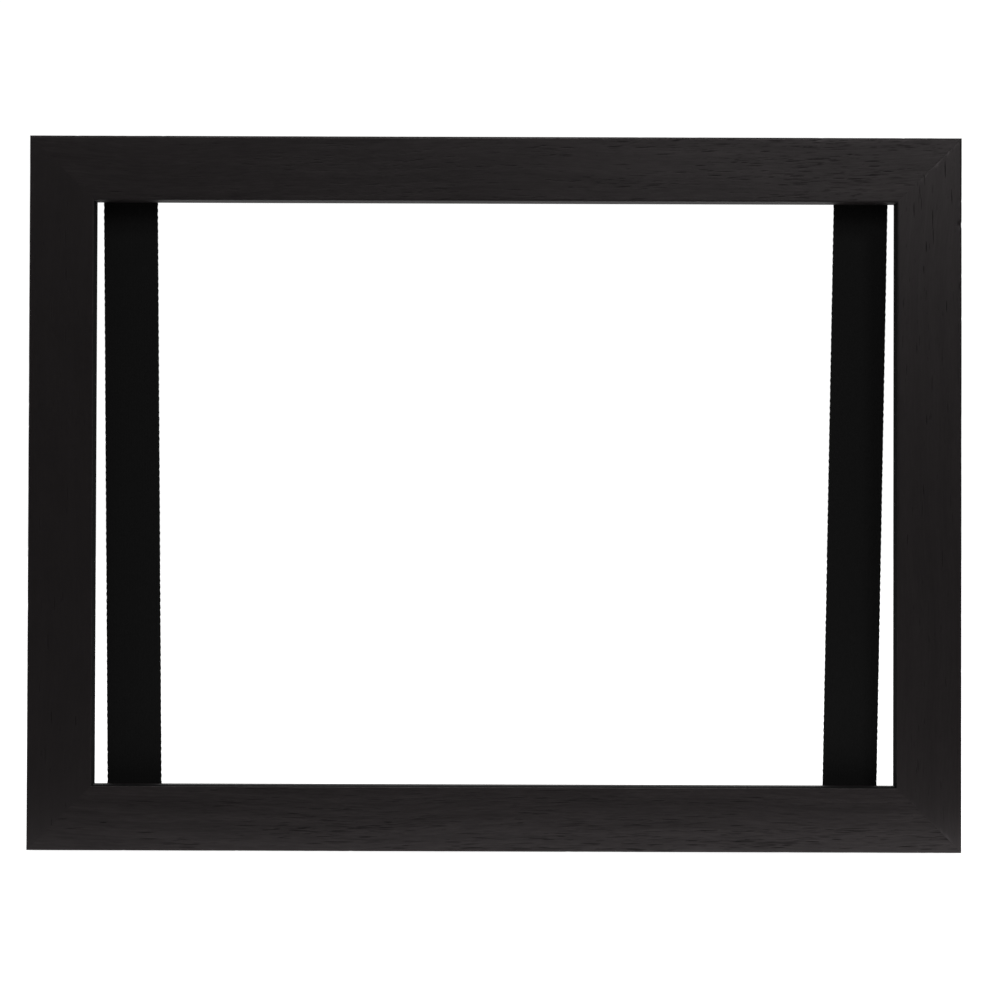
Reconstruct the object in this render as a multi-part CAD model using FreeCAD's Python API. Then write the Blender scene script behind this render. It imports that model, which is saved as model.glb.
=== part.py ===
import FreeCAD, Part
import math
import os

from FreeCAD import Vector

# A floating frame: four mitred hardwood members around an open centre, with two webbing
# straps across the back of the opening. A flat panel lies on the straps inside the frame and
# seems to float. Everything is in millimetres. +X is right, +Y is towards the wall, +Z is up.
# The origin is the middle of the bottom rail's underside, halfway through its depth.

# Driving dimensions of the frame
OUTER_WIDTH = 330.0
OUTER_HEIGHT = 252.7
DEPTH = 22.0
FACE_WIDTH = 22.8
LIP_DEPTH = 12.0
REBATE_WIDTH = 8.0
OUTER_ARRIS_RADIUS = 0.7
SIGHT_ARRIS_RADIUS = 0.4

# Webbing straps: nominal 3/4 inch woven tape, fixed by hand and so a little out of plumb
STRAP_WIDTH = 19.05
STRAP_THICKNESS = 1.4
STRAP_CLEARANCE = 0.05
STRAP_GRIP = 7.0
LEFT_STRAP_TOP_X = -130.4
LEFT_STRAP_BOTTOM_X = -128.1
RIGHT_STRAP_TOP_X = 130.5
RIGHT_STRAP_BOTTOM_X = 126.8

# Staples that hold the strap ends down on the rebate's shoulder
STAPLE_CROWN = 10.6
STAPLE_LEG = 6.0
STAPLE_WIRE_WIDTH = 1.2
STAPLE_WIRE_THICKNESS = 0.6
STAPLE_ROWS = (2.6, 5.2)
STAPLE_HOLE_CLEARANCE = 0.06

# V-nails driven into the backs of the mitres
V_NAIL_LEG = 4.0
V_NAIL_WING = 1.0
V_NAIL_THICKNESS = 0.45
V_NAIL_LENGTH = 10.0
V_NAIL_PLACES = (6.6, 12.4)

# D-ring hangers on the backs of the stiles
HANGER_DROP = 60.0
PLATE_WIDTH = 8.0
PLATE_THICKNESS = 0.7
PLATE_REACH = 12.5
LOOP_SLOPE = math.radians(38)
RING_WIRE_RADIUS = 1.0
RING_HALF_WIDTH = 5.75
RING_CORNER_RADIUS = 1.5
RING_SHOULDER = 3.5
LOOP_CLEARANCE = 0.08

# Pan-head wood screws that hold the hangers
SCREW_OFFSET = 8.2
SCREW_LENGTH = 12.0
SCREW_HEAD_RADIUS = 3.1
SCREW_HEAD_HEIGHT = 1.5
SCREW_CREST_RADIUS = 1.6
SCREW_ROOT_RADIUS = 1.15
SCREW_PITCH = 1.25
SCREW_POINT = 2.5
PLATE_HOLE_RADIUS = 1.8

# Rubber wall bumpers
BUMPER_RADIUS = 4.75
BUMPER_FLAT_RADIUS = 3.2
BUMPER_HEIGHT = 3.2
BUMPER_RISE = 24.0

# Places worked out from the driving dimensions
HALF_WIDTH = OUTER_WIDTH / 2
FRONT = -DEPTH / 2
BACK = DEPTH / 2
SHOULDER = FRONT + LIP_DEPTH
WALL_WIDTH = FACE_WIDTH - REBATE_WIDTH
WALL_MIDDLE = WALL_WIDTH / 2
SIGHT_BOTTOM = FACE_WIDTH
SIGHT_TOP = OUTER_HEIGHT - FACE_WIDTH
LOOP_INNER_RADIUS = RING_WIRE_RADIUS + LOOP_CLEARANCE
LOOP_OUTER_RADIUS = LOOP_INNER_RADIUS + PLATE_THICKNESS
RING_BAR_Z = OUTER_HEIGHT - HANGER_DROP
HANGER_X = HALF_WIDTH - WALL_MIDDLE

X_AXIS = Vector(1, 0, 0)
Y_AXIS = Vector(0, 1, 0)
Z_AXIS = Vector(0, 0, 1)


def line(start, end):
    return Part.LineSegment(start, end).toShape()


def arc(start, middle, end):
    return Part.Arc(start, middle, end).toShape()


def polygon(points):
    """A flat face inside a closed loop of corner points."""
    return Part.Face(Part.makePolygon(points + points[:1]))


def about_z(shape, degrees, centre):
    turned = shape.copy()
    turned.rotate(centre, Z_AXIS, degrees)
    return turned


# ---------------------------------------------------------------- wooden members

def member_section():
    """The moulding's section at x = 0: z runs inward from the outer side, y from front to back."""
    r, q = OUTER_ARRIS_RADIUS, SIGHT_ARRIS_RADIUS
    k = 1 - math.sqrt(0.5)
    front_outer = Vector(0, FRONT, r)
    front_sight = Vector(0, FRONT, FACE_WIDTH - q)
    sight_front = Vector(0, FRONT + q, FACE_WIDTH)
    sight_back = Vector(0, SHOULDER, FACE_WIDTH)
    shoulder_inner = Vector(0, SHOULDER, WALL_WIDTH)
    wall_back = Vector(0, BACK, WALL_WIDTH)
    back_outer = Vector(0, BACK, r)
    side_back = Vector(0, BACK - r, 0)
    side_front = Vector(0, FRONT + r, 0)
    edges = [
        line(front_outer, front_sight),
        arc(front_sight, Vector(0, FRONT + k * q, FACE_WIDTH - k * q), sight_front),
        line(sight_front, sight_back),
        line(sight_back, shoulder_inner),
        line(shoulder_inner, wall_back),
        line(wall_back, back_outer),
        arc(back_outer, Vector(0, BACK - k * r, k * r), side_back),
        line(side_back, side_front),
        arc(side_front, Vector(0, FRONT + k * r, k * r), front_outer),
    ]
    return Part.Face(Part.Wire(edges))


def member(length):
    """One mitred member lying along X with its outer side on z = 0."""
    half = length / 2
    bar = member_section().extrude(Vector(length, 0, 0))
    bar.translate(Vector(-half, 0, 0))
    mitred_outline = polygon([
        Vector(-half, FRONT, 0),
        Vector(half, FRONT, 0),
        Vector(half - FACE_WIDTH, FRONT, FACE_WIDTH),
        Vector(-half + FACE_WIDTH, FRONT, FACE_WIDTH),
    ])
    return bar.common(mitred_outline.extrude(Vector(0, DEPTH, 0)))


def placed_members():
    """The four members, turned about Y so that each outer side faces outward."""
    middle = Vector(0, 0, OUTER_HEIGHT / 2)

    def place(length, turn, reach):
        bar = member(length)
        bar.translate(Vector(0, 0, OUTER_HEIGHT / 2 - reach))
        bar.rotate(middle, Y_AXIS, turn)
        return bar

    return {
        "rail_bottom": place(OUTER_WIDTH, 0, OUTER_HEIGHT / 2),
        "rail_top": place(OUTER_WIDTH, 180, OUTER_HEIGHT / 2),
        "stile_left": place(OUTER_HEIGHT, 90, HALF_WIDTH),
        "stile_right": place(OUTER_HEIGHT, -90, HALF_WIDTH),
    }


# ---------------------------------------------------------------- bent flat wire

def offset_path(points, distance):
    """A path in (u, v) moved sideways by a distance, with mitred corners."""
    moved = []
    for i, (u, v) in enumerate(points):
        before = points[max(i - 1, 0)]
        after = points[min(i + 1, len(points) - 1)]
        into = direction(before, (u, v)) if i else direction((u, v), after)
        out = direction((u, v), after) if i < len(points) - 1 else into
        normal = (-into[1] - out[1], into[0] + out[0])
        scale = 2 * distance / (normal[0] ** 2 + normal[1] ** 2)
        moved.append((u + scale * normal[0], v + scale * normal[1]))
    return moved


def direction(start, end):
    length = math.dist(start, end)
    return ((end[0] - start[0]) / length, (end[1] - start[1]) / length)


def bent_strip(points, thickness, origin, u_axis, v_axis, sweep):
    """A strip of even thickness bent along a path, then extruded by the sweep vector."""
    outline = offset_path(points, thickness / 2) + offset_path(points, -thickness / 2)[::-1]
    corners = [origin + u_axis * u + v_axis * v for u, v in outline]
    return polygon(corners).extrude(sweep)


# ---------------------------------------------------------------- V-nails

def v_nail(corner_x, corner_z, place):
    """A V-nail driven flush on a mitre: its point faces the opening, each leg is in one member."""
    inward_x = -math.copysign(1, corner_x) * X_AXIS
    inward_z = Z_AXIS if corner_z == 0 else -Z_AXIS
    wing = V_NAIL_WING * math.sqrt(0.5)
    tip = place - V_NAIL_LEG
    path = [
        (place + wing, tip - wing),
        (place, tip),
        (place, place),
        (tip, place),
        (tip - wing, place + wing),
    ]
    origin = Vector(corner_x, BACK, corner_z)
    sweep = Vector(0, -V_NAIL_LENGTH, 0)
    return bent_strip(path, V_NAIL_THICKNESS, origin, inward_x, inward_z, sweep)


def v_nail_nodes():
    nodes = {}
    for level, z in (("top", OUTER_HEIGHT), ("bottom", 0.0)):
        for side, x in (("left", -HALF_WIDTH), ("right", HALF_WIDTH)):
            nails = [v_nail(x, z, place) for place in V_NAIL_PLACES]
            nodes[f"v_nails_{level}_{side}"] = Part.makeCompound(nails)
    return nodes


# ---------------------------------------------------------------- straps and staples

def strap_axis(top_x, bottom_x):
    """A strap's centre line at the sight edges, and its long and crosswise directions."""
    top = Vector(top_x, SHOULDER + STRAP_CLEARANCE, SIGHT_TOP)
    bottom = Vector(bottom_x, SHOULDER + STRAP_CLEARANCE, SIGHT_BOTTOM)
    along = (top - bottom).normalize()
    across = Vector(along.z, 0, -along.x)
    return top, bottom, along, across


def strap(top_x, bottom_x):
    """A flat strap from rebate to rebate, with its ends cut level."""
    top, bottom, along, across = strap_axis(top_x, bottom_x)
    grip = along * (STRAP_GRIP / along.z)
    half = X_AXIS * (STRAP_WIDTH / 2 / across.x)
    face = polygon([
        bottom - grip - half,
        bottom - grip + half,
        top + grip + half,
        top + grip - half,
    ])
    return face.extrude(Vector(0, STRAP_THICKNESS, 0))


def staple(centre, along, across, grow=0.0):
    """A staple pressed down on a strap; a positive grow makes the cutter for its holes."""
    half_crown = (STAPLE_CROWN - STAPLE_WIRE_THICKNESS) / 2
    leg = STAPLE_LEG - STAPLE_WIRE_THICKNESS / 2
    path = [(-half_crown, -leg), (-half_crown, 0), (half_crown, 0), (half_crown, -leg)]
    width = STAPLE_WIRE_WIDTH + 2 * grow
    crown_height = STRAP_THICKNESS + STAPLE_WIRE_THICKNESS / 2 + STRAP_CLEARANCE
    origin = centre + Y_AXIS * crown_height - along * (width / 2)
    thickness = STAPLE_WIRE_THICKNESS + 2 * grow
    return bent_strip(path, thickness, origin, across, Y_AXIS, along * width)


def staple_centres(top_x, bottom_x):
    """Staple places on the strap's front plane, for the strap's top end and its bottom end."""
    top, bottom, along, across = strap_axis(top_x, bottom_x)
    return {
        "top": [top + along * row for row in STAPLE_ROWS],
        "bottom": [bottom - along * row for row in STAPLE_ROWS],
    }, along, across


def strap_and_staple_nodes():
    nodes = {}
    runs = {
        "left": (LEFT_STRAP_TOP_X, LEFT_STRAP_BOTTOM_X),
        "right": (RIGHT_STRAP_TOP_X, RIGHT_STRAP_BOTTOM_X),
    }
    for side, run in runs.items():
        centres, along, across = staple_centres(*run)
        band = strap(*run)
        for level, places in centres.items():
            staples = [staple(place, along, across) for place in places]
            nodes[f"strap_staples_{level}_{side}"] = Part.makeCompound(staples)
            for place in places:
                band = band.cut(staple(place, along, across, STAPLE_HOLE_CLEARANCE))
        nodes[f"strap_{side}"] = band
    return nodes


# ---------------------------------------------------------------- D-ring hangers

def plate_point(down, out):
    """A point in the hanger's side view: down from the ring's bar, out from the wood."""
    return Vector(0, BACK + out, RING_BAR_Z - down)


def hanger_plate():
    """A strip folded round the ring's bar and welded back on itself, at x = 0."""
    t = PLATE_THICKNESS
    rise = t + LOOP_INNER_RADIUS
    slope_sin, slope_cos = math.sin(LOOP_SLOPE), math.cos(LOOP_SLOPE)

    def tangent(radius):
        return radius * slope_sin, rise + radius * slope_cos

    def landing(radius, height):
        down, out = tangent(radius)
        return down + (out - height) / slope_sin * slope_cos, height

    outer = [
        line(plate_point(PLATE_REACH, 0), plate_point(0, 0)),
        arc(plate_point(0, 0), plate_point(-LOOP_OUTER_RADIUS, rise),
            plate_point(*tangent(LOOP_OUTER_RADIUS))),
        line(plate_point(*tangent(LOOP_OUTER_RADIUS)), plate_point(*landing(LOOP_OUTER_RADIUS, 2 * t))),
        line(plate_point(*landing(LOOP_OUTER_RADIUS, 2 * t)), plate_point(PLATE_REACH, 2 * t)),
        line(plate_point(PLATE_REACH, 2 * t), plate_point(PLATE_REACH, 0)),
    ]
    inner = [
        arc(plate_point(0, t), plate_point(-LOOP_INNER_RADIUS, rise),
            plate_point(*tangent(LOOP_INNER_RADIUS))),
        line(plate_point(*tangent(LOOP_INNER_RADIUS)), plate_point(*landing(LOOP_INNER_RADIUS, t))),
        line(plate_point(*landing(LOOP_INNER_RADIUS, t)), plate_point(0, t)),
    ]
    sweep = Vector(PLATE_WIDTH, 0, 0)
    strip = Part.Face(Part.Wire(outer)).extrude(sweep)
    strip = strip.cut(Part.Face(Part.Wire(inner)).extrude(sweep))
    strip.translate(Vector(-PLATE_WIDTH / 2, 0, 0))

    half = PLATE_WIDTH / 2
    top = RING_BAR_Z + LOOP_OUTER_RADIUS + 1
    round_centre = RING_BAR_Z - PLATE_REACH + half
    outline = Part.Face(Part.Wire([
        line(Vector(half, BACK - 1, round_centre), Vector(half, BACK - 1, top)),
        line(Vector(half, BACK - 1, top), Vector(-half, BACK - 1, top)),
        line(Vector(-half, BACK - 1, top), Vector(-half, BACK - 1, round_centre)),
        arc(Vector(-half, BACK - 1, round_centre), Vector(0, BACK - 1, round_centre - half),
            Vector(half, BACK - 1, round_centre)),
    ])).extrude(Vector(0, 8, 0))
    hole = Part.makeCylinder(PLATE_HOLE_RADIUS, 8, Vector(0, BACK - 1, RING_BAR_Z - SCREW_OFFSET), Y_AXIS)
    return strip.common(outline).cut(hole)


def hanger_ring():
    """A D-ring standing up from its bar, at x = 0."""
    w, r = RING_HALF_WIDTH, RING_CORNER_RADIUS
    k = r * (1 - math.sqrt(0.5))
    y = BACK + PLATE_THICKNESS + LOOP_INNER_RADIUS

    def at(x, up):
        return Vector(x, y, RING_BAR_Z + up)

    path = Part.Wire([
        line(at(0, 0), at(w - r, 0)),
        arc(at(w - r, 0), at(w - k, k), at(w, r)),
        line(at(w, r), at(w, RING_SHOULDER)),
        arc(at(w, RING_SHOULDER), at(0, RING_SHOULDER + w), at(-w, RING_SHOULDER)),
        line(at(-w, RING_SHOULDER), at(-w, r)),
        arc(at(-w, r), at(-w + k, k), at(-w + r, 0)),
        line(at(-w + r, 0), at(0, 0)),
    ])
    wire_section = Part.Wire(Part.makeCircle(RING_WIRE_RADIUS, at(0, 0), X_AXIS))
    return path.makePipeShell([wire_section], True, True)


def hanger_screw():
    """A pan-head wood screw with ridged thread, driven through the plate at x = 0."""
    seat = BACK + 2 * PLATE_THICKNESS
    top = seat + SCREW_HEAD_HEIGHT
    end = seat - SCREW_LENGTH
    thread_start = BACK - 1.0
    centre_z = RING_BAR_Z - SCREW_OFFSET

    def at(radius, y):
        return Vector(radius, y, centre_z)

    ridge = []
    y = thread_start
    while y - SCREW_PITCH > end + SCREW_POINT:
        ridge += [at(SCREW_ROOT_RADIUS, y), at(SCREW_CREST_RADIUS, y - SCREW_PITCH / 2)]
        y -= SCREW_PITCH
    shank = [
        at(SCREW_HEAD_RADIUS, seat),
        at(SCREW_CREST_RADIUS, seat),
        at(SCREW_CREST_RADIUS, thread_start + 0.4),
    ]
    tip = [at(SCREW_ROOT_RADIUS, y), at(0, end)]
    rim = at(SCREW_HEAD_RADIUS, seat + 0.5)
    crown = at(0, top)
    dome = arc(crown, at(SCREW_HEAD_RADIUS * 0.72, seat + SCREW_HEAD_HEIGHT * 0.8), rim)
    corners = [rim] + shank + ridge + tip + [crown]
    edges = [dome] + [line(a, b) for a, b in zip(corners, corners[1:])]
    body = Part.Face(Part.Wire(edges)).revolve(at(0, 0), Y_AXIS, 360)

    arm = SCREW_HEAD_RADIUS * 1.1
    slot = SCREW_HEAD_RADIUS * 0.26
    for length, width in ((arm, slot), (slot, arm)):
        recess = Part.makeBox(length, SCREW_HEAD_HEIGHT, width)
        recess.translate(Vector(-length / 2, seat + 0.45, centre_z - width / 2))
        body = body.cut(recess)
    return body


def hanger_nodes():
    nodes = {}
    for side, x in (("left", -HANGER_X), ("right", HANGER_X)):
        shift = Vector(x, 0, 0)
        nodes[f"hanger_plate_{side}"] = hanger_plate().translated(shift)
        nodes[f"hanger_ring_{side}"] = hanger_ring().translated(shift)
        nodes[f"hanger_screw_{side}"] = hanger_screw().translated(shift)
    return nodes


# ---------------------------------------------------------------- wall bumpers

def bumper():
    """A stick-on rubber bumper: a flat-topped dome standing on the back, at the origin."""
    shoulder = BUMPER_HEIGHT * 0.4
    middle = Vector(BUMPER_RADIUS - 0.4, BACK + BUMPER_HEIGHT * 0.75, 0)
    edges = [
        line(Vector(0, BACK, 0), Vector(BUMPER_RADIUS, BACK, 0)),
        line(Vector(BUMPER_RADIUS, BACK, 0), Vector(BUMPER_RADIUS, BACK + shoulder, 0)),
        arc(Vector(BUMPER_RADIUS, BACK + shoulder, 0), middle,
            Vector(BUMPER_FLAT_RADIUS, BACK + BUMPER_HEIGHT, 0)),
        line(Vector(BUMPER_FLAT_RADIUS, BACK + BUMPER_HEIGHT, 0), Vector(0, BACK + BUMPER_HEIGHT, 0)),
        line(Vector(0, BACK + BUMPER_HEIGHT, 0), Vector(0, BACK, 0)),
    ]
    return Part.Face(Part.Wire(edges)).revolve(Vector(0, 0, 0), Y_AXIS, 360)


def bumper_nodes():
    return {
        f"wall_bumper_{side}": bumper().translated(Vector(x, 0, BUMPER_RISE))
        for side, x in (("left", -HANGER_X), ("right", HANGER_X))
    }


# ---------------------------------------------------------------- assembly

def seat_fasteners(members, fasteners):
    """Cut each driven fastener's own shape out of the members that it enters."""
    seated = {}
    for name, wood in members.items():
        for fastener in fasteners:
            for piece in fastener.Solids:
                if wood.BoundBox.intersect(piece.BoundBox):
                    wood = wood.cut(piece)
        seated[name] = wood
    return seated


def build():
    soft_and_staples = strap_and_staple_nodes()
    v_nails = v_nail_nodes()
    hangers = hanger_nodes()
    driven = list(v_nails.values())
    driven += [shape for name, shape in soft_and_staples.items() if "staples" in name]
    driven += [shape for name, shape in hangers.items() if "screw" in name]
    nodes = seat_fasteners(placed_members(), driven)
    nodes.update(soft_and_staples)
    nodes.update(v_nails)
    nodes.update(hangers)
    nodes.update(bumper_nodes())
    return nodes


os.makedirs("parts", exist_ok=True)
for node, shape in build().items():
    shape.exportStep(os.path.join("parts", f"{node}.step"))
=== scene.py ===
import math
from collections import namedtuple

import bpy
import numpy as np
from mathutils import Matrix, Vector

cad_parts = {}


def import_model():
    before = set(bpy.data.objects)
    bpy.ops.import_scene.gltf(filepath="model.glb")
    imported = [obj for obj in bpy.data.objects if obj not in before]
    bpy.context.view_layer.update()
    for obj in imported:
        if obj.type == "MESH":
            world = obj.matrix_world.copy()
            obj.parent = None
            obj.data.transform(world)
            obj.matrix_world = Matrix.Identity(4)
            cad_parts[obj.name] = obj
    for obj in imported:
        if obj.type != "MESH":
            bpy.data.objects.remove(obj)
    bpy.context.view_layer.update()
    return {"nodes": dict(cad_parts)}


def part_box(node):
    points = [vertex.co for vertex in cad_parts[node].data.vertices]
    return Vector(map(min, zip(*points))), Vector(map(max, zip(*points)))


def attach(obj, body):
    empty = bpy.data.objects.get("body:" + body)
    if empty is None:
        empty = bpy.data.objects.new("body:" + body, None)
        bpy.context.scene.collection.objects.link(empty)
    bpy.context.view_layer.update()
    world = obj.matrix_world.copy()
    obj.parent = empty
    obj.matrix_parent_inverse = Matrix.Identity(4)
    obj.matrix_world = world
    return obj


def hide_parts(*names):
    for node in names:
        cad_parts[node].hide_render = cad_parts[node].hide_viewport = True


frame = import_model()

MM = 0.001
NODES = frame["nodes"]


# ------------------------------------------------------------------ the frame's own measures

def high_corner(node):
    """A CAD node's corner with the highest x, y and z, in metres."""
    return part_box(node)[1]


HALF_WIDTH = high_corner("rail_top")[0]
HEIGHT = high_corner("rail_top")[2]
CENTRE = Vector((0.0, 0.0, HEIGHT / 2))


# ------------------------------------------------------------------ node tree helper

class Tree:
    """A short way to write a material's node tree."""

    def __init__(self, name):
        self.material = bpy.data.materials.new(name)
        self.material.use_nodes = True
        self.tree = self.material.node_tree
        self.tree.nodes.clear()
        self.output = self.tree.nodes.new("ShaderNodeOutputMaterial")

    def put(self, socket, value):
        """Joins another node's output to a socket, or sets the socket to a plain value."""
        if isinstance(value, bpy.types.NodeSocket):
            self.tree.links.new(value, socket)
        else:
            socket.default_value = value

    def node(self, kind, inputs=None, **settings):
        """Adds a shader node with its inputs and settings."""
        made = self.tree.nodes.new("ShaderNode" + kind)
        for key, value in settings.items():
            setattr(made, key, value)
        for key, value in (inputs or {}).items():
            self.put(made.inputs[key], value)
        return made

    def math(self, operation, a, b=0.0, c=0.0, clamp=False):
        """The result of a math node on up to three values."""
        made = self.node("Math", {0: a, 1: b, 2: c}, operation=operation, use_clamp=clamp)
        return made.outputs[0]

    def position(self):
        """The point's place in the object, in millimetres."""
        place = self.node("TexCoord").outputs["Object"]
        return self.node("VectorMath", {0: place, 1: (1 / MM,) * 3}, operation="MULTIPLY").outputs[0]

    def split(self, vector):
        """A vector's x, y and z."""
        return self.node("SeparateXYZ", {0: vector}).outputs

    def join(self, x, y, z):
        """A vector made from its x, y and z."""
        return self.node("CombineXYZ", {0: x, 1: y, 2: z}).outputs[0]

    def scaled(self, vector, scale, offset=(0.0, 0.0, 0.0)):
        """Stretches a vector, so that a texture on it gets that many cells to a millimetre."""
        made = self.node("VectorMath", {0: vector, 1: scale, 2: offset}, operation="MULTIPLY_ADD")
        return made.outputs[0]

    def noise(self, vector, scale=1.0, detail=2.0, roughness=0.5, distortion=0.0):
        """A soft noise between 0 and 1."""
        inputs = {"Vector": vector, "Scale": scale, "Detail": detail, "Roughness": roughness,
                  "Distortion": distortion}
        return self.node("TexNoise", inputs).outputs["Fac"]

    def cells(self, vector):
        """Random cells: the distance from each cell's middle, and one random value per cell."""
        made = self.node("TexVoronoi", {"Vector": vector, "Scale": 1.0})
        return made.outputs["Distance"], self.split(made.outputs["Color"])[0]

    def remap(self, value, low, high, to_low=0.0, to_high=1.0):
        """Eases from to_low to to_high as the value goes from low to high."""
        inputs = {0: value, 1: low, 2: high, 3: to_low, 4: to_high}
        return self.node("MapRange", inputs, interpolation_type="SMOOTHSTEP").outputs[0]

    def blend(self, factor, a, b, mode="MIX"):
        """Blends colour b over colour a."""
        made = self.node("Mix", data_type="RGBA", blend_type=mode)
        for index, value in ((0, factor), (6, a), (7, b)):
            self.put(made.inputs[index], value)
        return made.outputs[2]

    def bump(self, height, distance):
        """A normal that leans with the height, where a height of 1 stands for the distance."""
        return self.node("Bump", {"Height": height, "Distance": distance, "Strength": 1.0}).outputs[0]

    def finish(self, inputs):
        """Ends the tree in a Principled shader with the given inputs."""
        shader = self.node("BsdfPrincipled", inputs)
        self.tree.links.new(shader.outputs[0], self.output.inputs["Surface"])
        return self.material


# ------------------------------------------------------------------ materials

# The stain's sheen, as the shader's specular level, its tint, and the stain's few pale specks
SHEEN = 0.5
SHEEN_TINT = (1.0, 0.925, 0.94, 1.0)
SPECK_COLOUR = (0.3, 0.28, 0.25, 1.0)


def grey(value):
    """A neutral colour."""
    return (value, value, value, 1.0)


def stain(value):
    """The black stain's colour: a little warm, so that it isn't a neutral grey."""
    return (value * 1.22, value, value * 1.02, 1.0)


def stained_wood(name, look):
    """Black-stained hardwood that follows the member's grain map and carved pores, with painted shade
    on its sight edges: a flat grey with no reflection.
    """
    t = Tree(name)
    grain_map = t.node("UVMap", uv_map="grain").outputs[0]
    grain = t.scaled(grain_map, (1 / MM, 1 / MM, 0.0), (look.seed * 31.0, look.seed * 7.0, look.seed))
    pores = t.node("Attribute", attribute_name="pore").outputs["Fac"]
    sight_shade = t.node("Attribute", attribute_name="sight_shade").outputs["Fac"]

    figure = t.noise(t.scaled(grain, (0.012, 0.3, 1.0)), detail=3.0, roughness=0.55)
    streaks = t.noise(t.scaled(grain, (0.14, 1.6, 1.0)), detail=4.0, roughness=0.6)
    fibres = t.noise(t.scaled(grain, (0.3, 7.0, 1.0)), detail=2.0)
    mottle = t.noise(t.scaled(grain, (0.05, 0.08, 1.0)), detail=3.0)
    specks, lucky = t.cells(t.scaled(grain, (0.03, 0.045, 1.0)))
    speck = t.math("MULTIPLY", t.remap(specks, 0.014, 0.006), t.remap(lucky, 0.75, 0.77))

    def varied(noise, amount):
        """A factor near 1 that follows a noise."""
        return t.remap(noise, 0.3, 0.7, 1 - amount, 1 + amount)

    light = t.math("MULTIPLY", varied(streaks, 0.09 * look.bold), varied(figure, 0.1 * look.bold))
    light = t.math("MULTIPLY", light, varied(mottle, 0.1))
    light = t.math("MULTIPLY", light, t.math("MULTIPLY_ADD", pores, -0.75, 1.0))
    # Painted shade: on the sight edges the stain gives way to a flat grey
    colour = t.blend(sight_shade, stain(look.tone), grey(look.edge))
    colour = t.blend(1.0, colour, t.join(light, light, light), "MULTIPLY")
    colour = t.blend(speck, colour, SPECK_COLOUR)

    facing = t.math("ABSOLUTE", t.split(t.node("NewGeometry").outputs["Normal"])[1])
    side = t.remap(facing, 0.95, 0.3)
    rough = t.math("MULTIPLY_ADD", side, 0.38, t.remap(fibres, 0.3, 0.7, 0.29, 0.34))
    rough = t.math("MULTIPLY_ADD", pores, 0.35, rough, clamp=True)
    sheen = t.math("MULTIPLY", varied(figure, 0.08 * look.bold), varied(streaks, 0.1 * look.bold))
    # Painted shade: the sight edges' reflection is taken off
    sheen = t.math("MULTIPLY", sheen, t.math("MULTIPLY_ADD", sight_shade, -SHEEN, SHEEN))
    sheen = t.math("MULTIPLY_ADD", pores, -0.35, sheen, clamp=True)
    height = t.math("MULTIPLY_ADD", streaks, 0.05 * look.bold, t.math("MULTIPLY", fibres, 0.04))
    return t.finish({"Base Color": colour, "Roughness": rough, "Normal": t.bump(height, 0.14 * MM),
                     "Specular IOR Level": sheen, "Specular Tint": SHEEN_TINT})


def plated_metal(name, colour, rough, mottle, drawn):
    """Plated steel: cloudy plating, fine scratches and, where drawn, lines along the wire."""
    t = Tree(name)
    place = t.position()
    clouds = t.noise(place, scale=0.35, detail=4.0, roughness=0.6)
    _, shade = t.cells(t.scaled(place, (1.3, 1.3, 1.3)))
    flake = t.remap(shade, 0.0, 1.0, 1 - mottle, 1.0)
    scratches = t.noise(t.scaled(place, (0.9, 0.9, 14.0)), detail=3.0, roughness=0.7, distortion=0.6)
    lines = t.noise(t.scaled(place, (22.0, 22.0, 0.5)), detail=2.0)
    shine = t.math("MULTIPLY", flake, t.remap(clouds, 0.3, 0.7, 0.9, 1.0))
    tarnish = t.remap(t.noise(place, scale=0.9, detail=5.0, roughness=0.65), 0.6, 0.78)
    base = t.blend(1.0, (*colour, 1.0), t.join(shine, shine, shine), "MULTIPLY")
    base = t.blend(t.math("MULTIPLY", tarnish, 0.5), base, (0.2, 0.17, 0.13, 1.0))
    roughness = t.math("ADD", t.remap(clouds, 0.3, 0.7, rough - 0.05, rough + 0.08),
                       t.remap(scratches, 0.62, 0.7, 0.0, 0.16))
    roughness = t.math("MULTIPLY_ADD", tarnish, 0.2, roughness, clamp=True)
    height = t.math("MULTIPLY_ADD", scratches, -0.25, t.math("MULTIPLY", lines, drawn))
    return t.finish({"Base Color": base, "Roughness": roughness, "Metallic": 1.0,
                     "Normal": t.bump(height, 0.04 * MM)})


def rubber(name):
    """Matt black rubber with a little dust and a fine moulded texture."""
    t = Tree(name)
    place = t.position()
    dust = t.remap(t.noise(place, scale=2.2, detail=6.0, roughness=0.7), 0.5, 0.75, 0.0, 0.35)
    colour = t.blend(dust, grey(0.013), (0.075, 0.072, 0.066, 1.0))
    grit = t.noise(place, scale=9.0, detail=3.0)
    return t.finish({"Base Color": colour, "Roughness": t.remap(dust, 0.0, 0.35, 0.55, 0.85),
                     "Normal": t.bump(grit, 0.05 * MM)})


def webbing_cloth():
    """Matt black woven yarn."""
    t = Tree("webbing_cloth")
    place = t.position()
    fuzz = t.noise(place, scale=6.0, detail=4.0, roughness=0.7)
    colour = t.blend(fuzz, grey(0.0052), grey(0.0113))
    normal = t.bump(fuzz, 0.08 * MM)
    return t.finish({"Base Color": colour, "Roughness": 0.92, "Specular IOR Level": 0.2,
                     "Sheen Weight": 0.05, "Sheen Roughness": 0.5, "Normal": normal})


# ------------------------------------------------------------------ mesh helpers

def smoothstep(x):
    """Eases from 0 to 1."""
    x = np.clip(x, 0, 1)
    return x * x * (3 - 2 * x)


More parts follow.
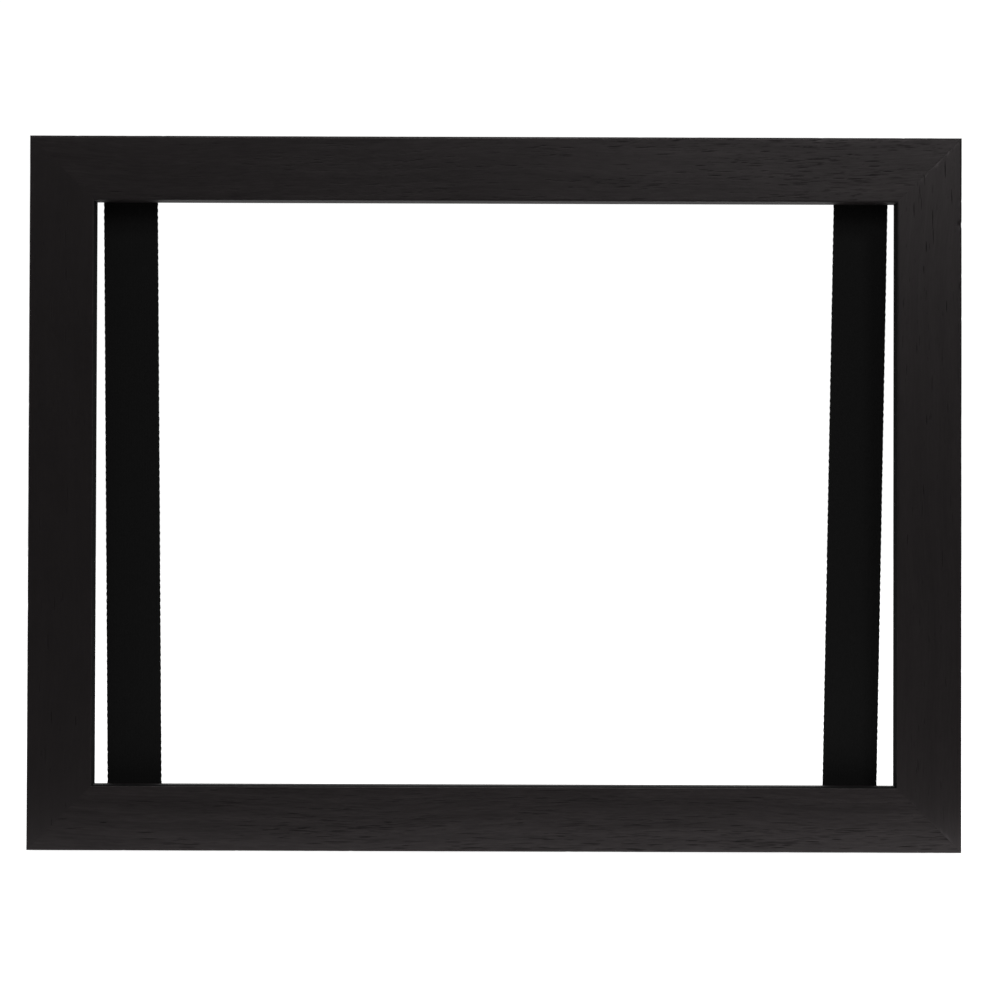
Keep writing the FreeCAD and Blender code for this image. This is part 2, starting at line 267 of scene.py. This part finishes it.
def value_noise(rng, x, y, cell_x, cell_y):
    """Smooth random values between -1 and 1 that change over cells of the given size."""
    gx = (x - x.min()) / cell_x
    gy = (y - y.min()) / cell_y
    table = rng.uniform(-1, 1, (int(gx.max()) + 2, int(gy.max()) + 2))
    ix, iy = gx.astype(int), gy.astype(int)
    fx, fy = smoothstep(gx - ix), smoothstep(gy - iy)
    low = table[ix, iy] * (1 - fx) + table[ix + 1, iy] * fx
    high = table[ix, iy + 1] * (1 - fx) + table[ix + 1, iy + 1] * fx
    return low * (1 - fy) + high * fy


def link_piece(name, mesh, body, slot, *nodes):
    """Puts a mesh in the scene in place of CAD nodes, riding on a body."""
    piece = bpy.data.objects.new(name, mesh)
    bpy.context.scene.collection.objects.link(piece)
    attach(piece, body)
    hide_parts(*nodes)
    return piece


# ------------------------------------------------------------------ timber members

# Mesh steps: across the face, across the other outer sides, inside the rebate, and along a member
FACE_STEP = 0.18 * MM
SIDE_STEP = 0.6 * MM
INNER_STEP = 1.0 * MM
ROW_STEP = 0.8 * MM
ARRIS_STEPS = 4

# Depth of the skin below the CAD's surface, and sizes of the marks in it
SKIN_INSET = 0.02 * MM
MITRE_EASE = 0.12 * MM
MITRE_STEP = 0.004 * MM
MITRE_CHIP_DEPTH = 0.06 * MM
NICK_HEIGHT = 222 * MM
NICK_REACH = 0.7 * MM
NICK_DEPTH = 0.4 * MM
DENTS = 5
DENT_DEPTH = 0.1 * MM
DENT_REACH = 1.1 * MM
WEAR_DEPTH = 0.04 * MM

# How far the grain wanders sideways and over what length, and the heights of the skin's swell
GRAIN_DRIFTS = ((1.6 * MM, 210 * MM), (0.6 * MM, 83 * MM))
WAVE_HEIGHT = 0.015 * MM
STREAK_HEIGHT = 0.0015 * MM

# Carved pores, large and small: how many per metre, half length, half width and depth.
# FULL_PORE is the depth at which a pore is as dark as pores get. Pores come in clusters of the given
# length and width, and PORE_LEAN is the mean and spread of how far they lean off the grain.
PORES = (
    (3300, (0.9 * MM, 3.6 * MM), (0.12 * MM, 0.2 * MM), 0.022 * MM),
    (4200, (0.4 * MM, 1.4 * MM), (0.1 * MM, 0.16 * MM), 0.013 * MM),
)
FULL_PORE = 0.019 * MM
PORE_CLUSTER = (26 * MM, 2.4 * MM)
PORE_LEAN = (0.01, 0.02)
# How much of the bottom rail's sight edge, from the front, is fully painted shade before it fades out
SIGHT_SHADE_SHARE = 0.45

# A member's look. seed: its random numbers; tone: how pale its stain is, and partly painted shade,
# set lower on the stiles than on the rails and lowest on the left stile; bold: how strongly its
# streaks show;
# busy: how many pores it has at its first mitre, middle and second mitre (1 is many); stretch: how
# long the pores are; chips: how many chips its mitres have; edge: the flat grey of its painted
# sight-edge shade, painted where the reflection is taken off
Look = namedtuple("Look", "seed tone bold busy stretch chips edge")
WOOD = {
    "rail_bottom": Look(37, 0.0140, 1.2, (0.0, 1.7, 1.0), 1.3, 1, 0.022),
    "stile_right": Look(71, 0.0111, 0.5, (0.15, 0.12, 0.5), 0.9, 12, 0.034),
    "rail_top": Look(11, 0.0131, 1.0, (1.7, 1.3, 0.0), 0.9, 0, 0.034),
    "stile_left": Look(53, 0.0102, 0.3, (0.1, 0.08, 0.12), 0.9, 0, 0.034),
}


def moulding_sizes():
    """The moulding's section, read off the bottom rail: u runs inward from its underside."""
    points = np.array([v.co for v in NODES["rail_bottom"].data.vertices])
    y, u = points[:, 1], points[:, 2]
    tiny = 0.005 * MM
    inner, under = u > u.max() - tiny, u < u.min() + tiny
    return {
        "face": u.max(), "front": y.min(), "back": y.max(), "shoulder": y[inner].max(),
        "wall": u[y > y.max() - tiny].max(),
        "sight_arris": y[inner].min() - y.min(), "outer_arris": y[under].min() - y.min(),
    }


def moulding_section():
    """Columns round the section: place (u, y), outward normal, distance round it, and part name."""
    m = moulding_sizes()
    r, q = m["outer_arris"], m["sight_arris"]
    columns = []

    def straight(part, start, end, normal, step):
        count = max(2, int(round(math.dist(start, end) / step)))
        for i in range(count):
            f = i / count
            place = [a + (b - a) * f for a, b in zip(start, end)]
            columns.append((part, *place, *normal))

    def rounded(part, centre, radius, first):
        for i in range(ARRIS_STEPS):
            angle = math.radians(first + 90 * i / ARRIS_STEPS)
            nu, ny = math.cos(angle), math.sin(angle)
            columns.append((part, centre[0] + radius * nu, centre[1] + radius * ny, nu, ny))

    face, front, back, shoulder, wall = (m[k] for k in ("face", "front", "back", "shoulder", "wall"))
    straight("face", (r, front), (face - q, front), (0, -1), FACE_STEP)
    rounded("arris", (face - q, front + q), q, -90)
    straight("sight", (face, front + q), (face, shoulder), (1, 0), SIDE_STEP)
    straight("shoulder", (face, shoulder), (wall, shoulder), (0, 1), INNER_STEP)
    straight("wall", (wall, shoulder), (wall, back), (1, 0), INNER_STEP)
    straight("back", (wall, back), (r, back), (0, 1), SIDE_STEP)
    rounded("arris", (r, back - r), r, 90)
    straight("side", (0, back - r), (0, front + r), (-1, 0), SIDE_STEP)
    rounded("arris", (r, front + r), r, 180)
    parts = np.array([c[0] for c in columns])
    numbers = np.array([c[1:] for c in columns])
    place, normal = numbers[:, :2], numbers[:, 2:]
    steps = np.linalg.norm(np.roll(place, -1, axis=0) - place, axis=1)
    around = np.concatenate([[0], np.cumsum(steps)])
    return parts, place, normal, around


def carved_pores(rng, along, around, busy, stretch):
    """Depth of long narrow dimples, in loose clusters, over the front face."""
    depth = np.zeros(along.shape)
    reach_s, reach_p = along.max(), around[-1]
    cluster = value_noise(rng, along, np.broadcast_to(around, along.shape), *PORE_CLUSTER)
    for per_metre, half_length, half_width, deepest in PORES:
        for _ in range(int(per_metre * 2 * reach_s)):
            s, p = rng.uniform(-reach_s, reach_s), rng.uniform(0, reach_p)
            a, b = stretch * rng.uniform(*half_length), rng.uniform(*half_width)
            d = deepest * rng.uniform(0.15, 1.0)
            lean = rng.normal(*PORE_LEAN)
            keep = rng.random()
            c0, c1 = np.searchsorted(around, (p - 3 * b, p + 3 * b))
            if c1 <= c0:
                continue
            line = along[:, (c0 + c1) // 2]
            r0, r1 = np.searchsorted(line, (s - a, s + a))
            share = np.interp(s / reach_s, (-1, 0, 1), busy)
            if r1 <= r0 or keep > share * (0.5 + 0.55 * cluster[(r0 + r1) // 2, c0]):
                continue
            window = (slice(r0, r1), slice(c0, c1))
            ds = (along[window] - s) / a
            dp = (around[c0:c1][None, :] - p - lean * (along[window] - s)) / b
            shape = np.sqrt(np.clip(1 - ds ** 2, 0, 1)) * np.clip(1 - dp ** 2, 0, 1)
            depth[window] = np.maximum(depth[window], d * shape)
    return depth


def member_grid(length, u):
    """How far along the member each point lies: rows from mitre to mitre, one column per u."""
    rows = int(round(length / ROW_STEP)) + 1
    t = np.linspace(-1, 1, rows)
    ease = 2 * MITRE_EASE / length
    t = np.concatenate([[-1, -1 + ease], t[1:-1], [1 - ease, 1]])
    return t[:, None] * (length / 2 - u)


def grain_drift(rng, along):
    """How far the grain wanders sideways along the member."""
    return sum(reach * np.sin(math.tau * along / wave + rng.uniform(0, 6))
               for reach, wave in GRAIN_DRIFTS)


def swell(rng, along, around, drift):
    """Slow waves and faint raised streaks over the whole skin."""
    streaks = value_noise(rng, along, around - drift, 18 * MM, 0.5 * MM)
    waves = value_noise(rng, along, around, 35 * MM, 8 * MM)
    return WAVE_HEIGHT * waves + STREAK_HEIGHT * streaks


def arris_wear(rng, along, around):
    """Depth of the uneven wear on the rounded edges."""
    fine = value_noise(rng, along, around, 2.2 * MM, 1.0 * MM)
    coarse = value_noise(rng, along, around, 14 * MM, 3 * MM)
    return WEAR_DEPTH * np.clip(coarse + 0.4 * fine, 0, 1.4)


def outer_dents(rng, node, length, along, u, y):
    """Depth of a few small dents on the outer arris, and of one clear nick on the right stile."""
    spots = [(rng.uniform(-0.45, 0.45) * length, rng.uniform(0.3, 0.7) * MM, DENT_DEPTH)
             for _ in range(DENTS)]
    if node == "stile_right":
        spots.append((NICK_HEIGHT - length / 2, NICK_REACH, NICK_DEPTH))
    near_arris = np.exp(-((u + y - u.min() - y.min()) / DENT_REACH) ** 2)
    return near_arris * sum(deep * np.exp(-((along - s) / radius) ** 2) for s, radius, deep in spots)


def mitre_chips(rng, count, length, along, u):
    """Depth of small chips beside the mitre lines."""
    from_mitre = length / 2 - u - np.abs(along)
    depth = np.zeros(along.shape)
    for _ in range(count):
        end, spot = rng.choice((-1, 1)), rng.uniform(2.0 * MM, u.max() - 1.5 * MM)
        across, wide = rng.uniform(0.4, 0.9) * MM, rng.uniform(0.4, 1.0) * MM
        chip = np.exp(-(from_mitre / across) ** 2 - ((u - spot) / wide) ** 2)
        depth += MITRE_CHIP_DEPTH * chip * (np.sign(along) == end)
    return depth


def tube_mesh(name, points):
    """A closed skin through a grid of points: rows lengthwise, columns round the section."""
    rows, columns = points.shape[:2]
    r, c = np.meshgrid(np.arange(rows - 1), np.arange(columns), indexing="ij")
    d = (c + 1) % columns
    low, high = r * columns, (r + 1) * columns
    quads = np.stack([low + c, low + d, high + d, high + c], -1)
    last = (rows - 1) * columns
    caps = [list(range(columns))[::-1], list(range(last, last + columns))]
    mesh = bpy.data.meshes.new(name)
    mesh.from_pydata(points.reshape(-1, 3).tolist(), [], quads.reshape(-1, 4).tolist() + caps)
    mesh.shade_smooth()
    return mesh


def map_grain(mesh, along, around, drift):
    """The grain map: u runs along the member and v round it, following the grain's drift."""
    rows, columns = along.shape
    r, c = np.meshgrid(np.arange(rows - 1), np.arange(columns), indexing="ij")
    r = np.stack([r, r, r + 1, r + 1], -1).reshape(-1)
    c = np.stack([c, c + 1, c + 1, c], -1).reshape(-1)
    uv = np.zeros((len(mesh.loops), 2), np.float32)
    uv[:len(r), 0] = along[r, c % columns]
    uv[:len(r), 1] = around[c] - drift[r, c % columns]
    mesh.uv_layers.new(name="grain").data.foreach_set("uv", uv.ravel())


def mask_points(mesh, name, values):
    """A value per vertex that the wood material reads."""
    mask = mesh.attributes.new(name, "FLOAT", "POINT")
    mask.data.foreach_set("value", values.astype(np.float32).ravel())


def painted_sight_shade(node, parts, y):
    """Where a sight edge gets painted shade, a flat grey with no reflection: all of a stile's, and
    the front of the bottom rail's, fading out towards its back.
    """
    sight = parts == "sight"
    if node == "rail_bottom":
        fade = (y - y[sight].min()) / (y[sight].max() - y[sight].min())
        return sight * (1 - smoothstep((fade - SIGHT_SHADE_SHARE) / (1 - SIGHT_SHADE_SHARE)))
    return sight * ("stile" in node)


def timber_member(node, length, origin, along_axis, inward_axis):
    """One mitred member as a dense skin with carved pores, worn arrises and chipped mitres."""
    look = WOOD[node]
    rng = np.random.default_rng(look.seed)
    parts, place, normal, around = moulding_section()
    u, y = place.T
    along = member_grid(length, u)
    round_grid = np.broadcast_to(around[:-1], along.shape)
    face, arris = parts == "face", parts == "arris"

    pores = np.zeros(along.shape)
    pores[:, face] = carved_pores(rng, along[:, face], around[:-1][face], look.busy, look.stretch)
    drift = grain_drift(rng, along)
    height = swell(rng, along, round_grid, drift) - SKIN_INSET - pores
    height -= arris_wear(rng, along, round_grid) * arris
    height -= outer_dents(rng, node, length, along, u, y)
    height -= mitre_chips(rng, look.chips, length, along, u) * face
    height[[0, -1]] -= MITRE_STEP * (face | arris | (parts == "side"))

    uu = u + height * normal[:, 0]
    yy = y + height * normal[:, 1]
    ends = np.sign(along) * np.minimum(np.abs(along), length / 2 - np.maximum(uu, 0))
    x = origin[0] + along_axis[0] * ends + inward_axis[0] * uu
    z = origin[1] + along_axis[1] * ends + inward_axis[1] * uu

    mesh = tube_mesh("timber_" + node, np.stack([x, yy, z], -1))
    map_grain(mesh, along, around, drift)
    mask_points(mesh, "pore", (pores / FULL_PORE).clip(0, 1))
    # The sight edges' painted shade
    mask_points(mesh, "sight_shade", np.broadcast_to(painted_sight_shade(node, parts, y), along.shape))
    mark_sharp(mesh, along.shape, square_corners(parts))
    mesh.materials.append(stained_wood("wood_" + node, look))
    return link_piece(mesh.name, mesh, "frame", "black_stained_wood", node)


def square_corners(parts):
    """The columns where the section turns a square corner."""
    return [i for i, part in enumerate(parts)
            if part != parts[i - 1] and part in ("shoulder", "wall", "back")]


def mark_sharp(mesh, grid, sharp_columns):
    """Keeps the section's square corners and the ends crisp under smooth shading."""
    rows, columns = grid
    pairs = np.zeros(len(mesh.edges) * 2, np.int32)
    mesh.edges.foreach_get("vertices", pairs)
    a, b = pairs.reshape(-1, 2).T
    lengthwise = (a % columns == b % columns) & np.isin(a % columns, sharp_columns)
    ends = (a // columns == b // columns) & np.isin(a // columns, (0, rows - 1))
    flags = mesh.attributes.new("sharp_edge", "BOOLEAN", "EDGE")
    flags.data.foreach_set("value", lengthwise | ends)


def timber_members():
    """The two rails and the two stiles."""
    middle = HEIGHT / 2
    width = 2 * HALF_WIDTH

    # node: length, middle of its outer side, direction along and direction inward
    layout = {
        "rail_bottom": (width, (0, 0), (1, 0), (0, 1)),
        "stile_right": (HEIGHT, (HALF_WIDTH, middle), (0, 1), (-1, 0)),
        "rail_top": (width, (0, HEIGHT), (-1, 0), (0, -1)),
        "stile_left": (HEIGHT, (-HALF_WIDTH, middle), (0, -1), (1, 0)),
    }
    for node, place in layout.items():
        timber_member(node, *place)


# ------------------------------------------------------------------ webbing straps

# A plain weave: warp yarns across the strap, weft picks along it, and mesh steps to each.
# END_FADE is how far the weave flattens towards a cut end, WANDER how much the strap wavers sideways,
# and SERRATION how far the picks' turns stand out along the selvedge.
WARPS = 20
WARP_STEPS = 4
PICK = 1.2 * MM
PICK_STEPS = 3
YARN_RELIEF = 0.14 * MM
EDGE_ROUND = 0.55
END_FADE = 1.2 * MM
WANDER = 0.03 * MM
SELVEDGE_SWELL = 0.2 * MM
SERRATION = (0.01 * MM, 0.1 * MM)
SERRATED = 0.3
YARN_FILL = 0.54


def strap_run(node):
    """The strap's centre line from bottom to top, its width across and its front and back planes."""
    points = np.array([v.co for v in NODES[node].data.vertices])
    low, high = points.min(0), points.max(0)
    ends = []
    for z in (low[2], high[2]):
        row = points[np.abs(points[:, 2] - z) < 0.05 * MM]
        ends.append(np.array([(row[:, 0].min() + row[:, 0].max()) / 2, z]))
        width = row[:, 0].max() - row[:, 0].min()
    return ends[0], ends[1], width, low[1], high[1]


def weave_height(u, v, pitch):
    """Height of a plain weave at (u, v): warp yarns run along v and weft picks along u."""
    warp = np.round(u / pitch)
    pick = np.round(v / PICK)
    warp_round = np.sqrt(np.clip(1 - ((u - warp * pitch) / (YARN_FILL * pitch)) ** 2, 0, 1))
    pick_round = np.sqrt(np.clip(1 - ((v - pick * PICK) / (YARN_FILL * PICK)) ** 2, 0, 1))
    warp_top = 0.5 * np.cos(math.pi * v / PICK) * (-1) ** warp + 0.5 * warp_round
    pick_top = -0.5 * np.cos(math.pi * u / pitch) * (-1) ** pick + 0.5 * pick_round
    return np.maximum(warp_top, pick_top)


def strap_grid(node, seed):
    """Points of the strap: rows from bottom to top, columns across the front and back again."""
    bottom, top, width, front, back = strap_run(node)
    rng = np.random.default_rng(seed)
    length = np.linalg.norm(top - bottom)
    along = (top - bottom) / length
    pitch = width / WARPS
    rows = int(round(length / PICK)) * PICK_STEPS + 1
    uu, vv = np.meshgrid(np.linspace(-width / 2, width / 2, WARPS * WARP_STEPS + 1),
                         np.linspace(0, length, rows))
    half = (back - front) / 2
    edge = np.clip((width / 2 - np.abs(uu)) / (EDGE_ROUND * pitch), 0, 1)
    edge = np.sqrt(1 - (1 - edge) ** 2)
    end = np.clip(np.minimum(vv, length - vv) / END_FADE, 0, 1)
    wander = np.convolve(rng.normal(0, WANDER, rows), np.ones(9) / 9, "same")
    teeth = np.repeat(rng.uniform(*SERRATION, (rows // PICK_STEPS + 1, 1)), PICK_STEPS, axis=0)[:rows]
    teeth = teeth * np.cos(math.pi * vv / PICK) * (np.abs(uu) > width / 2 - SERRATED * pitch) * end
    across = uu * (1 + SELVEDGE_SWELL / width) + np.sign(uu) * teeth + wander[:, None]
    x = bottom[0] + across * along[1] + vv * along[0]
    z = bottom[1] - across * along[0] + vv * along[1]
    faces = []
    for side, shift in ((-1, 0), (1, pitch)):
        yarn = YARN_RELIEF * weave_height(uu + shift, vv, pitch) * end
        body = (half - YARN_RELIEF * 0.8) * (0.25 + 0.75 * edge) + yarn
        faces.append(np.stack([x, (front + back) / 2 + side * body, z], -1))
    return np.concatenate([faces[0], faces[1][:, ::-1]], axis=1)


def webbing_strap(name, node, seed):
    """A strap as a closed woven skin."""
    mesh = tube_mesh(name, strap_grid(node, seed))
    return link_piece(name, mesh, "frame", "black_webbing", node)


# ------------------------------------------------------------------ dress the CAD nodes

def dress(node, material):
    """Gives a CAD node its material."""
    data = NODES[node].data
    data.materials.clear()
    data.materials.append(material)


def dress_all():
    """Builds the timber and the straps, and gives every other CAD node its material."""
    timber_members()
    nickel = plated_metal("nickel", (0.66, 0.62, 0.56), 0.26, 0.05, 0.0)
    zinc = plated_metal("zinc", (0.6, 0.62, 0.64), 0.3, 0.22, 0.0)
    wire = plated_metal("staple_wire", (0.55, 0.55, 0.53), 0.34, 0.18, 0.3)
    nail = plated_metal("v_nail_steel", (0.33, 0.33, 0.34), 0.38, 0.1, 0.2)
    bumper = rubber("rubber")
    for node in NODES:
        for key, material in (("plate", nickel), ("ring", nickel), ("screw", zinc),
                              ("staples", wire), ("v_nails", nail), ("bumper", bumper)):
            if key in node:
                dress(node, material)
    cloth = webbing_cloth()
    for seed, side in enumerate(("left", "right")):
        piece = webbing_strap("webbing_" + side, "strap_" + side, seed + 5)
        piece.data.materials.append(cloth)


# ------------------------------------------------------------------ studio

# The floor's half size, and how strongly it glows to the camera and, behind the frame, to reflections
FLOOR_SIZE = 6.0
FLOOR_TO_CAMERA = 0.85
FLOOR_BEHIND = 0.7

# A row of lit patches on the floor in front of the frame, stronger towards the right
POOLS = 5
POOL_GAP = 0.085
POOL_RADIUS = 0.085
POOL_Y = -0.03
POOL_LEFT = 0.45
POOL_RIGHT = 0.95

# How bright reflections see the room, on the camera's side and behind the frame, and how bright the
# camera sees it
WORLD_FRONT = 0.0
WORLD_BEHIND = 1.0
WORLD_TO_CAMERA = 1.05

# Soft square lights: name, place from the frame's centre, power in watts
SOFTBOX_SIZE = 0.3
SOFTBOXES = (
    ("high_right", (1.0, -1.1, 1.1), 4.30),
    ("above", (0.0, -1.1, 0.7), 1.80),
    ("right", (0.3, -1.1, 0.4), 0.60),
    ("near_right", (0.6, -1.1, 0.4), 0.11),
    ("left", (-0.4, -1.1, 0.6), 0.43),
    ("far_left", (-0.9, -1.1, 0.2), 0.23),
)


def seen_by_camera(tree, hidden, shown):
    """A shader that the camera sees as one thing and reflections see as another."""
    path = tree.nodes.new("ShaderNodeLightPath")
    mix = tree.nodes.new("ShaderNodeMixShader")
    tree.links.new(path.outputs["Is Camera Ray"], mix.inputs[0])
    tree.links.new(hidden, mix.inputs[1])
    tree.links.new(shown, mix.inputs[2])
    return mix.outputs[0]


def floor():
    """A plain pale floor that the camera sees as white and that throws only a little light up."""
    mesh = bpy.data.meshes.new("floor")
    s = FLOOR_SIZE
    mesh.from_pydata([(-s, -s, 0), (s, -s, 0), (s, s, 0), (-s, s, 0)], [], [(0, 1, 2, 3)])
    piece = bpy.data.objects.new("floor", mesh)
    bpy.context.scene.collection.objects.link(piece)
    t = Tree("floor_paint")
    paint = {"Roughness": 0.9, "Specular IOR Level": 0.1, "Emission Color": (1, 1, 1, 1)}
    pale = {**paint, "Base Color": grey(0.85), "Emission Strength": FLOOR_TO_CAMERA}
    shown = t.node("BsdfPrincipled", pale)
    place = t.node("TexCoord").outputs["Object"]
    glow = t.remap(t.split(place)[1], 0.1, 0.5, 0.0, FLOOR_BEHIND)
    for i in range(POOLS):
        centre = (POOL_GAP * (i - (POOLS - 1) / 2), POOL_Y, 0.0)
        strength = POOL_LEFT + (POOL_RIGHT - POOL_LEFT) * i / (POOLS - 1)
        reach = t.node("VectorMath", {0: place, 1: centre}, operation="DISTANCE").outputs["Value"]
        glow = t.math("ADD", t.remap(reach, POOL_RADIUS, 0.0, 0.0, strength), glow)
    dim = {**paint, "Base Color": grey(0.3), "Emission Strength": glow}
    hidden = t.node("BsdfPrincipled", dim)
    shader = seen_by_camera(t.tree, hidden.outputs[0], shown.outputs[0])
    t.tree.links.new(shader, t.output.inputs["Surface"])
    mesh.materials.append(t.material)


def world():
    """White to the camera and behind the frame, dark on the camera's side."""
    made = bpy.data.worlds.new("studio")
    bpy.context.scene.world = made
    made.use_nodes = True
    tree = made.node_tree
    tree.nodes.clear()
    output = tree.nodes.new("ShaderNodeOutputWorld")
    direction = tree.nodes.new("ShaderNodeTexCoord")
    split = tree.nodes.new("ShaderNodeSeparateXYZ")
    tree.links.new(direction.outputs["Generated"], split.inputs[0])
    ramp = tree.nodes.new("ShaderNodeMapRange")
    ramp.interpolation_type = "SMOOTHSTEP"
    for index, value in ((1, -0.1), (2, 0.2), (3, WORLD_FRONT), (4, WORLD_BEHIND)):
        ramp.inputs[index].default_value = value
    tree.links.new(split.outputs[1], ramp.inputs[0])
    glow = tree.nodes.new("ShaderNodeBackground")
    glow.inputs["Color"].default_value = (1, 1, 1, 1)
    tree.links.new(ramp.outputs[0], glow.inputs["Strength"])
    white = tree.nodes.new("ShaderNodeBackground")
    white.inputs["Color"].default_value = (1, 1, 1, 1)
    white.inputs["Strength"].default_value = WORLD_TO_CAMERA
    shader = seen_by_camera(tree, glow.outputs[0], white.outputs[0])
    tree.links.new(shader, output.inputs["Surface"])


def softbox(name, place, power):
    """A soft square light that looks at the frame's centre."""
    data = bpy.data.lights.new(name, "AREA")
    data.shape = "SQUARE"
    data.size = SOFTBOX_SIZE
    data.energy = power
    lamp = bpy.data.objects.new(name, data)
    lamp.location = CENTRE + Vector(place)
    lamp.rotation_euler = (-Vector(place)).to_track_quat("-Z", "Y").to_euler()
    lamp.visible_camera = False
    bpy.context.scene.collection.objects.link(lamp)


# Camera: straight on, a little left of centre, tilted up a touch, with the view shifted to match
CAMERA_DISTANCE = 1.221
CAMERA_X = -0.00396
CAMERA_Z = 0.12444
CAMERA_PITCH = 0.9819
CAMERA_ROLL = 0.1808
CAMERA_LENS = 123.261
CAMERA_SHIFT = (0.01617, -0.05973)


def camera():
    """The camera that the picture is taken with."""
    data = bpy.data.cameras.new("camera")
    data.lens = CAMERA_LENS
    data.sensor_width = 36.0
    data.shift_x, data.shift_y = CAMERA_SHIFT
    view = bpy.data.objects.new("camera", data)
    place = Matrix.Translation((CAMERA_X, -CAMERA_DISTANCE, CAMERA_Z))
    tilt = Matrix.Rotation(math.radians(90 + CAMERA_PITCH), 4, "X")
    roll = Matrix.Rotation(math.radians(CAMERA_ROLL), 4, "Z")
    view.matrix_world = place @ tilt @ roll
    bpy.context.scene.collection.objects.link(view)
    bpy.context.scene.camera = view


dress_all()
floor()
world()
for box in SOFTBOXES:
    softbox(*box)
camera()
bpy.context.scene.view_settings.view_transform = "Standard"
